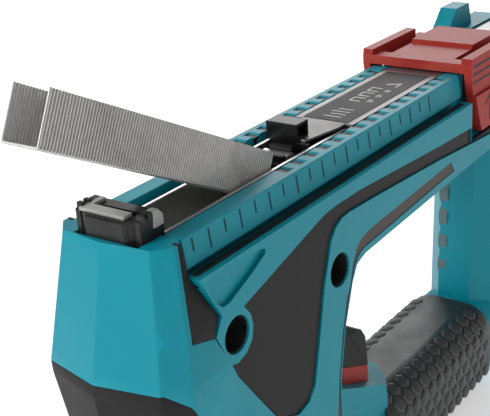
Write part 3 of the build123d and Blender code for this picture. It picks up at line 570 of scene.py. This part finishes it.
def grip_hexagons():
    """Raised hexagons over both sides of the rubber sleeve."""
    low, high = millimetres("grip_sleeve")
    carrier_mesh = bpy.data.meshes.new("grip_carrier")
    places, outwards = [], []
    row_step = HEX_STEP * math.sqrt(3) / 2
    first = high[1] - GRIP_CORNER + CREST_BARE
    for line in range(9):
        travelled = first + line * row_step
        (y, z), (out_y, out_z) = grip_outline(low, high, travelled)
        if z < low[2] + 7.0:
            break
        shift = 0.5 * HEX_STEP if line % 2 else 0.0
        x = low[0] + 4.0 + shift
        while x < high[0] - 3.5:
            for side in (-1, 1):
                places.append([MM * x, MM * side * y, MM * z])
                outwards.extend([0.0, side * out_y, out_z])
            x += HEX_STEP
    carrier_mesh.from_pydata(places, [], [])
    attribute = carrier_mesh.attributes.new("outward", "FLOAT_VECTOR", "POINT")
    attribute.data.foreach_set("vector", outwards)
    carrier = bpy.data.objects.new("grip_carrier", carrier_mesh)
    bpy.context.scene.collection.objects.link(carrier)

    def ring(radius, height):
        return [(radius * math.cos(math.radians(60 * turn + 30)),
                 radius * math.sin(math.radians(60 * turn + 30)), height) for turn in range(6)]

    corners = ring(HEX_RADIUS, -0.45) + ring(HEX_RADIUS, 0.1) + ring(HEX_TOP, HEX_HEIGHT)
    corners.append((0.0, 0.0, HEX_HEIGHT + 0.12))
    faces = []
    for turn in range(6):
        after = (turn + 1) % 6
        faces.append((turn, after, 6 + after, 6 + turn))
        faces.append((6 + turn, 6 + after, 12 + after, 12 + turn))
        faces.append((12 + turn, 12 + after, 18))
    faces.append(tuple(reversed(range(6))))
    unit = build("hexagon_unit", [(corners, faces)])
    piece = grow("grip_hexagons", carrier, SKIN, Unit=unit, Finish=HEXAGON)
    bpy.data.objects.remove(unit)
    finish_piece(piece, HEXAGON, "grip_rubber", "housing")


# ---------------------------------------------------------------- post and prongs
RIDGE_FOOT = (61.6, 0.0, 38.0)
RIDGE_STEP = (0.42, 0.0, 9.2)
RIDGE_COUNT = 6
PRONG_FRONT = 75.5
PAD_INNER, PAD_OUTER = 16.4, 16.85


def post_ridges():
    """Row of soft wedges up the front face of the post."""
    outline = [(0.6, 0.0), (-0.5, 2.4), (-0.9, 4.4), (-0.7, 6.4), (0.6, 8.6)]
    unit = build("wedge_unit", [prism(outline, 3.2, 6.6, along_y)], 0.3)
    piece = row("post_ridges", unit, RIDGE_COUNT, RIDGE_FOOT, RIDGE_STEP, RIDGE)
    finish_piece(piece, RIDGE, "black_plastic", "housing")


def foot_edges():
    """Grey wear pads on the outer faces of the two prongs."""
    top = millimetres("housing_left")[1][2]
    outline = [(PRONG_FRONT + 1.2, top - 7.0), (PRONG_FRONT + 8.2, top - 0.5),
               (PRONG_FRONT + 17.2, top - 0.5), (PRONG_FRONT + 19.6, top - 7.0)]
    shapes = []
    for side in (-1, 1):
        inner, outer = sorted((side * PAD_INNER, side * PAD_OUTER))
        shapes.append(prism(outline, inner, outer, along_y))
    finish_piece(build("prong_pads", shapes, 0.15), PAD, "black_plastic", "housing")


# ---------------------------------------------------------------- screw wells
WELL_PLACES = [(-94.3, 97.2, 19.4), (-49.2, 94.0, 19.4), (-58.0, 42.0, 19.4),
               (-58.0, 12.0, 14.3), (69.0, 15.0, 14.3)]   # x, z and how far out the mouth is
WELL_RADIUS = 4.66
WELL_WALL = 0.3
WELL_END = 11.1           # where the black sleeves of painted shade stop over the screw heads
WELL_SIDES = 40


def well_liners():
    """Black sleeves inside the holes over the housing screws: painted shade on the walls of the
    deep wells.
    """
    shapes = []
    for x, z, mouth in WELL_PLACES:
        corners, faces = [], []
        for radius, y in ((WELL_RADIUS, -mouth), (WELL_RADIUS - WELL_WALL, -mouth),
                          (WELL_RADIUS - WELL_WALL, -WELL_END), (WELL_RADIUS, -WELL_END)):
            for index in range(WELL_SIDES):
                turn = 2.0 * math.pi * index / WELL_SIDES
                corners.append((x + radius * math.cos(turn), y, z + radius * math.sin(turn)))
        for ring in range(4):
            for index in range(WELL_SIDES):
                after = (index + 1) % WELL_SIDES
                low, high = ring * WELL_SIDES, (ring + 1) % 4 * WELL_SIDES
                faces.append((low + index, low + after, high + after, high + index))
        shapes.append((corners, faces))
    # black sleeves of painted shade inside the screw wells
    finish_piece(build("well_liners", shapes), BLACK, "black_plastic", "housing")


# ---------------------------------------------------------------- latch
SHIELD_STEP = 0.8         # how far a leg's lower part stands out
GROOVE_TOP = 126.6
GROOVE_STEP = 2.5
GROOVE_WIDE = 0.7


def latch_details():
    """Flat black bars across each leg of the latch, painted shade for its three grip grooves, and
    a flat black direction mark on its shield.
    """
    low, high = millimetres("latch")
    front = low[0]
    side_y = high[1] - SHIELD_STEP
    shapes = []
    for side in (-1, 1):
        inner, outer = sorted((side * (side_y - 0.2), side * (side_y + 0.06)))
        # each grip groove is a thin black bar of painted shade laid on the leg
        for index in range(3):
            z = GROOVE_TOP - GROOVE_STEP * index
            bar = [(front + 1.6, z), (front + 25.5, z), (front + 25.5, z - GROOVE_WIDE),
                   (front + 1.6, z - GROOVE_WIDE)]
            shapes.append(prism(bar, inner, outer, along_y))
        inner, outer = sorted((side * (high[1] - 0.2), side * (high[1] + 0.06)))
        stem = [(front + 12.2, 106.6), (front + 12.8, 106.6), (front + 12.8, 114.6),
                (front + 12.2, 114.6)]
        barb = [(front + 8.6, 112.6), (front + 9.2, 112.2), (front + 12.8, 115.0),
                (front + 12.4, 115.6)]
        shapes += [prism(stem, inner, outer, along_y), prism(barb, inner, outer, along_y)]
    finish_piece(build("latch_grooves", shapes), BLACK, "black_plastic", "latch")


# ---------------------------------------------------------------- labels
def bars(places, depth, low_z):
    """Flat bars from (x0, x1, y0, y1)."""
    return [slab((x0, y0, low_z), (x1, y1, low_z + depth)) for x0, x1, y0, y1 in places]


def cover_print():
    """Generic pictograms on the cover's label: staple outlines and a warning triangle."""
    low, high = millimetres("cover_label")
    top = high[2]
    shapes = []
    for index in range(4):
        x = low[0] + 3.0 + index * 2.3
        shapes += bars([(x, x + 0.35, -3.4, 2.4 - 0.9 * (index % 2))], 0.05, top)
    x = low[0] + 18.0
    for index in range(3):
        start = x + 5.2 * index
        shapes += bars([(start, start + 3.6, 2.6, 3.0), (start, start + 0.4, -0.6, 2.6),
                        (start + 3.2, start + 3.6, -0.6, 2.6)], 0.05, top)
        shapes += bars([(start + 0.6, start + 3.0, -2.9, -2.5),
                        (start + 0.6, start + 2.4, -3.9, -3.5)], 0.05, top)
    triangle = [(x + 16.2, -3.6), (x + 20.6, -3.6), (x + 18.4, 0.6), (x + 17.9, 0.2),
                (x + 19.8, -3.2), (x + 16.6, -3.2)]
    shapes.append(prism(triangle, top, top + 0.05, along_z))
    finish_piece(build("cover_pictograms", shapes), PALE, "label_film", "cover")


def rating_label():
    """Pale film with a grid of plain bars in the foot's recess."""
    low, high = millimetres("rating_plate")
    sheet = slab((low[0] + 0.6, -5.6, high[2]), (high[0] - 2.0, 5.6, high[2] + 0.12))
    finish_piece(build("rating_film", [sheet], 0.03, 1), RATING, "label_film", "housing")


# ---------------------------------------------------------------- nose
NOSE_CHEEK = (7.8, 9.3)   # inner and outer distance from the centre plane


def nose_details():
    """Front apron, side cheeks with slotted lugs and a rounded bumper on the contact nose."""
    low, high = millimetres("contact_nose")
    front, rear, top = low[0], high[0] - 2.0, high[2]
    apron = [(front - 0.4, -5.4), (front + 0.3, -6.2), (front + 0.3, 6.2), (front - 0.4, 5.4)]
    shapes = [prism(apron, top - 8.6, top - 1.1, along_z)]
    for side in (-1, 1):
        inner, outer = sorted((side * NOSE_CHEEK[0], side * NOSE_CHEEK[1]))
        cheek = [(rear - 6.0, top - 9.4), (rear - 6.0, top - 0.6), (rear - 0.6, top + 0.1),
                 (rear + 1.7, top - 1.4), (rear + 1.9, top - 9.4)]
        shapes.append(prism(cheek, inner, outer, along_y))
        for x in (rear - 5.4, rear - 3.3):
            shapes.append(slab((x, inner - 0.2, top - 1.5), (x + 1.2, outer, top + 0.7)))
    finish_piece(build("nose_frame", shapes, 0.25), GLOSS, "black_plastic", "nose")
    bump = [(rear - 1.9, top - 3.6), (rear - 1.6, top + 0.4), (rear + 0.2, top + 0.5),
            (rear + 1.6, top - 1.0), (rear + 1.8, top - 3.6)]
    finish_piece(build("nose_bumper", [prism(bump, -9.5, -7.4, along_y)], 0.4), WEAR,
                 "black_plastic", "nose")


# ---------------------------------------------------------------- battery
PACK_RIBS = 5
PACK_RIB_STEP = 5.0
PACK_LIGHTS = 4
PACK_LIGHT_STEP = 4.0


def battery_details():
    """Finger ribs on the back and a row of charge lights on the pack."""
    low, high = millimetres("battery_pack")
    shapes = []
    for side in (-1, 1):
        inner, outer = sorted((side * 15.0, side * 23.0))
        for index in range(PACK_RIBS):
            z = low[2] + 24.0 + PACK_RIB_STEP * index
            shapes.append(slab((high[0] - 0.4, inner, z), (high[0] + 0.42, outer, z + 2.0)))
    finish_piece(build("pack_ribs", shapes, 0.35), BLACK, "black_plastic", "battery")
    lights = [slab((high[0] - 0.2, y, low[2] + 14.0), (high[0] + 0.15, y + 2.0, low[2] + 16.0))
              for y in [-7.0 + PACK_LIGHT_STEP * index for index in range(PACK_LIGHTS)]]
    finish_piece(build("pack_lights", lights, 0.1), PALE, "label_film", "battery")


# ---------------------------------------------------------------- camera, floor and light
CAMERA_PLACE = (-0.265, -0.15363, 0.218)
CAMERA_RIGHT = (0.5794, -0.8124, -0.0657)
CAMERA_UP = (0.3477, 0.1735, 0.9214)
CAMERA_BACK = (-0.7372, -0.5567, 0.3830)
LENS = 79.83


def set_camera():
    data = bpy.data.cameras.new("camera")
    data.lens = LENS
    data.sensor_width = 36.0
    data.clip_start = 0.01
    camera = bpy.data.objects.new("camera", data)
    turn = Matrix((CAMERA_RIGHT, CAMERA_UP, CAMERA_BACK)).transposed().to_4x4()
    camera.matrix_world = Matrix.Translation(CAMERA_PLACE) @ turn
    bpy.context.scene.collection.objects.link(camera)
    bpy.context.scene.camera = camera


def floor():
    plate = build("floor", [slab((-3000, -3000, -4), (3000, 3000, 0))])
    finish = Finish("pale floor", Roughness=0.6, Emission_Strength=1.0)
    shade = finish.noise(0.4, 2.0)
    paint = finish.mix(shade, colour(0.95, 0.95, 0.95), colour(0.98, 0.98, 0.98))
    glow = finish.mix(shade, colour(0.42, 0.42, 0.42), colour(0.43, 0.43, 0.43))
    plate.data.materials.append(finish.set(Base_Color=paint, Emission_Color=glow).material)


def soft_light(name, place, target, size, power):
    data = bpy.data.lights.new(name, "AREA")
    data.shape = "DISK"
    data.size = size
    data.energy = power
    lamp = bpy.data.objects.new(name, data)
    lamp.location = place
    aim = Vector(target) - Vector(place)
    lamp.rotation_euler = aim.to_track_quat("-Z", "Y").to_euler()
    bpy.context.scene.collection.objects.link(lamp)


def set_light():
    world = bpy.data.worlds.new("studio")
    world.use_nodes = True
    world.node_tree.nodes["Background"].inputs[0].default_value = (1.0, 1.0, 1.0, 1.0)
    world.node_tree.nodes["Background"].inputs[1].default_value = 0.34
    bpy.context.scene.world = world
    middle = (-0.03, 0.0, 0.08)
    soft_light("key", (-0.75, 0.30, 0.60), middle, 0.55, 6.4)
    soft_light("fill", (-0.2, -1.0, 0.30), middle, 0.7, 1.5)
    soft_light("back", (0.9, 0.5, 0.6), middle, 0.7, 3.4)
    bpy.context.scene.view_settings.view_transform = "Standard"


dress_cad_nodes()
staple_strip()
scale_marks()
pocket_liners()
grip_hexagons()
post_ridges()
foot_edges()
well_liners()
latch_details()
cover_print()
rating_label()
nose_details()
battery_details()
set_camera()
floor()
set_light()
